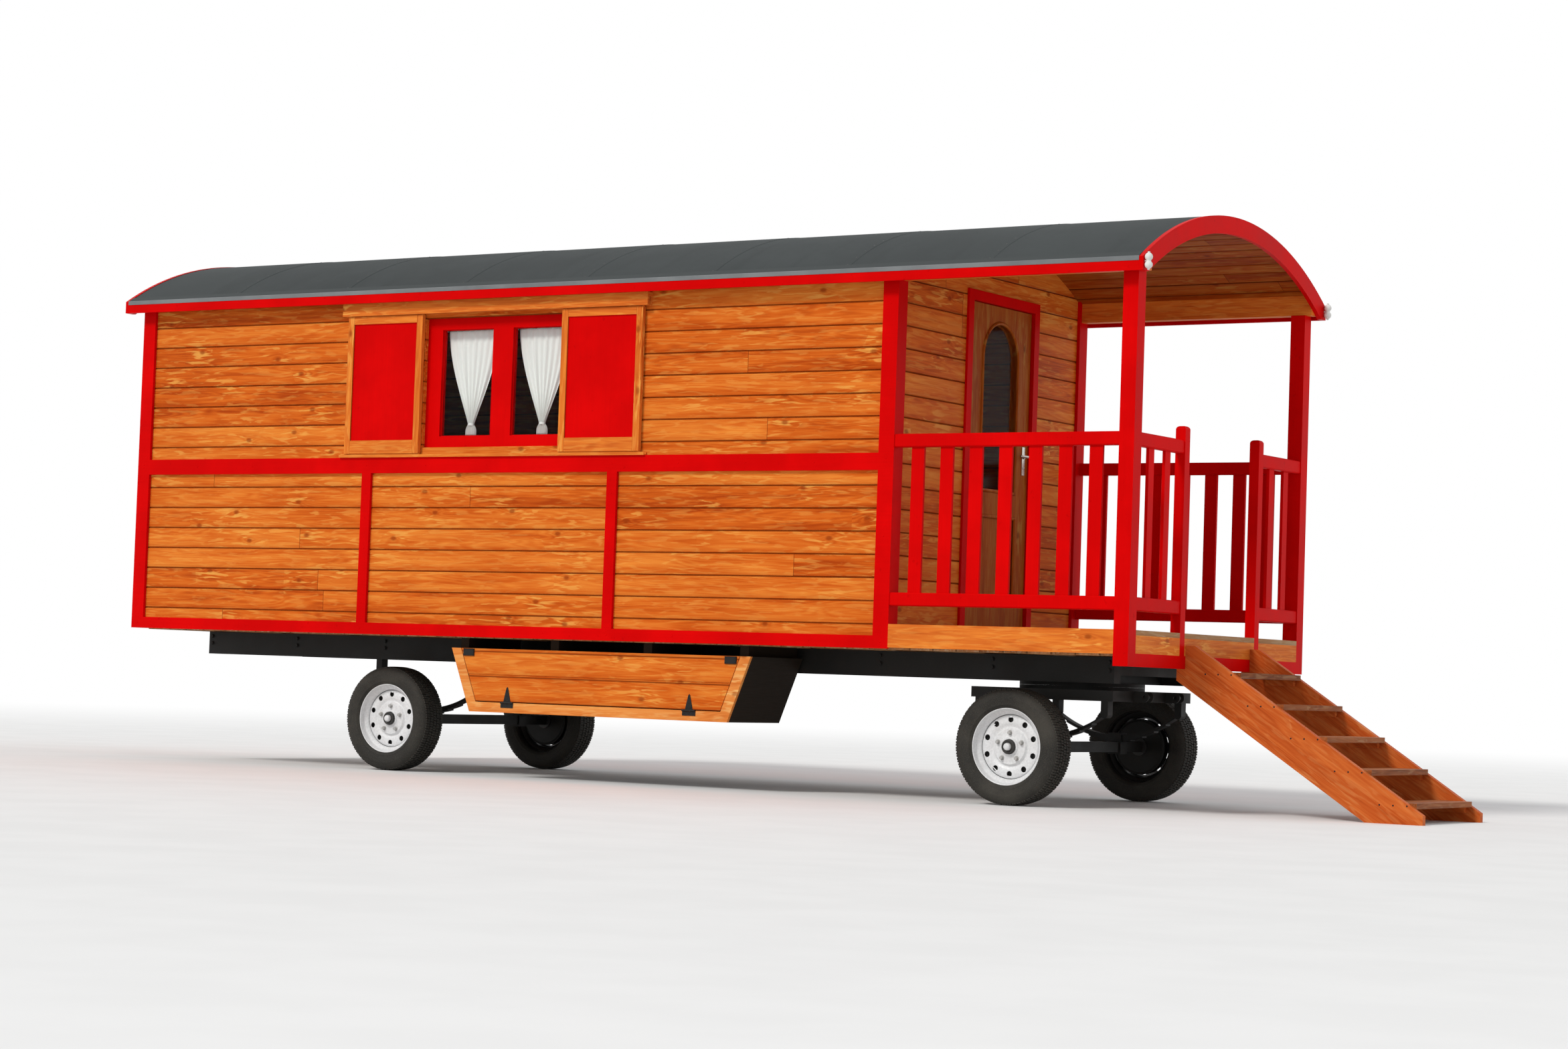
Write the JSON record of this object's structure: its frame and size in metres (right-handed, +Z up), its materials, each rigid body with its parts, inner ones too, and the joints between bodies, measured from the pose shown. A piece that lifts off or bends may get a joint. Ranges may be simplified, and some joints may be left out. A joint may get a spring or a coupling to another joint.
{
  "type": "vardo wagon",
  "caption": "Boarded living wagon with an arched roof, roofed front porch with railings, open stairs, sliding shutters, an underfloor chest and a steered front axle on a turntable.",
  "frame": {"origin": "on the ground, at the middle of the overall length and width", "axes": "+X along the wagon from the rear wall to the stairs, +Y to the far side from the chest, +Z up"},
  "size_m": [8.73, 2.4546, 3.3398],
  "materials": {
    "boards": "varnished honey-coloured softwood boards",
    "plain_wood": "honey-coloured softwood boards, plainer than the walls",
    "floor_wood": "plain softwood floor boards and joists",
    "red_paint": "bright red painted wood, satin",
    "roof_grey": "slate grey roofing sheet, matt",
    "drip_metal": "folded light metal edge",
    "white_paint": "white painted turned wood",
    "glass": "clear window glass",
    "curtain": "light woven cotton",
    "chassis_black": "black painted steel, worn",
    "rim_white": "white painted steel wheel",
    "tyre": "black rubber",
    "iron": "black iron fittings",
    "handle_metal": "brushed metal lever handle"
  },
  "bodies": {
    "wagon": {"chassis_frame": "chassis_black", "turntable_ring": "chassis_black", "rear_axle": "chassis_black", "floor_frame": "floor_wood", "floor_boards": "floor_wood", "floor_fascia": "plain_wood", "front_trim": "red_paint", "wall_trim": "red_paint", "roof_edges": "red_paint", "wall_near": "boards", "wall_far": "boards", "wall_rear": "boards", "wall_porch": "boards", "roof_lining": "boards", "roof_sheet": "roof_grey", "drip_edges": "drip_metal", "eave_ornaments": "white_paint", "porch_posts": "red_paint", "porch_beams": "plain_wood", "railings": "red_paint", "window_frames": "red_paint", "window_glass": "glass", "curtains": "curtain", "shutter_tracks": "plain_wood", "door_frame": "red_paint", "stair_stringers": "plain_wood", "stair_treads": "plain_wood", "chest_box": "boards", "chest_fittings": "iron"},
    "steering": {"turning_ring": "chassis_black", "steering_frame": "chassis_black", "front_axle": "chassis_black"},
    "door": {"cabin_door": "boards", "door_glass": "glass", "door_handle": "handle_metal"},
    "chest_flap": {"chest_door": "boards", "chest_straps": "iron", "chest_catches": "iron"},
    "wheel_front_near": {"tyre_front_near": "tyre", "rim_front_near": "rim_white"},
    "wheel_front_far": {"tyre_front_far": "tyre", "rim_front_far": "rim_white"},
    "wheel_rear_near": {"tyre_rear_near": "tyre", "rim_rear_near": "rim_white"},
    "wheel_rear_far": {"tyre_rear_far": "tyre", "rim_rear_far": "rim_white"},
    "shutter_near_rear": {"shutter_frame_near_rear": "plain_wood", "shutter_panel_near_rear": "red_paint"},
    "shutter_near_front": {"shutter_frame_near_front": "plain_wood", "shutter_panel_near_front": "red_paint"},
    "shutter_far_rear": {"shutter_frame_far_rear": "plain_wood", "shutter_panel_far_rear": "red_paint"},
    "shutter_far_front": {"shutter_frame_far_front": "plain_wood", "shutter_panel_far_front": "red_paint"}
  },
  "joints": [
    {"name": "steering_turn", "type": "hinge", "parent": "wagon", "child": "steering", "pos_m": [2.105, 0, 0.674], "axis": [0, 0, 1], "range_deg": [-40, 40]},
    {"name": "front_near_wheel_spin", "type": "hinge", "parent": "steering", "child": "wheel_front_near", "pos_m": [2.105, -0.81, 0.325], "axis": [0, 1, 0], "continuous": true},
    {"name": "front_far_wheel_spin", "type": "hinge", "parent": "steering", "child": "wheel_front_far", "pos_m": [2.105, 0.81, 0.325], "axis": [0, 1, 0], "continuous": true},
    {"name": "rear_near_wheel_spin", "type": "hinge", "parent": "wagon", "child": "wheel_rear_near", "pos_m": [-2.307, -0.81, 0.325], "axis": [0, 1, 0], "continuous": true},
    {"name": "rear_far_wheel_spin", "type": "hinge", "parent": "wagon", "child": "wheel_rear_far", "pos_m": [-2.307, 0.81, 0.325], "axis": [0, 1, 0], "continuous": true},
    {"name": "door_swing", "type": "hinge", "parent": "wagon", "child": "door", "pos_m": [1.3985, -0.2725, 1.95], "axis": [0, 0, 1], "range_deg": [0, 100]},
    {"name": "chest_flap_drop", "type": "hinge", "parent": "wagon", "child": "chest_flap", "pos_m": [-0.537, -1.116, 0.455], "axis": [1, 0, 0], "range_deg": [0, 160]},
    {"name": "near_rear_shutter_slide", "type": "slide", "parent": "wagon", "child": "shutter_near_rear", "axis": [1, 0, 0], "range_m": [0, 0.572]},
    {"name": "near_front_shutter_slide", "type": "slide", "parent": "wagon", "child": "shutter_near_front", "axis": [-1, 0, 0], "range_m": [0, 0.484]},
    {"name": "far_rear_shutter_slide", "type": "slide", "parent": "wagon", "child": "shutter_far_rear", "axis": [1, 0, 0], "range_m": [0, 0.572]},
    {"name": "far_front_shutter_slide", "type": "slide", "parent": "wagon", "child": "shutter_far_front", "axis": [-1, 0, 0], "range_m": [0, 0.484]}
  ]
}
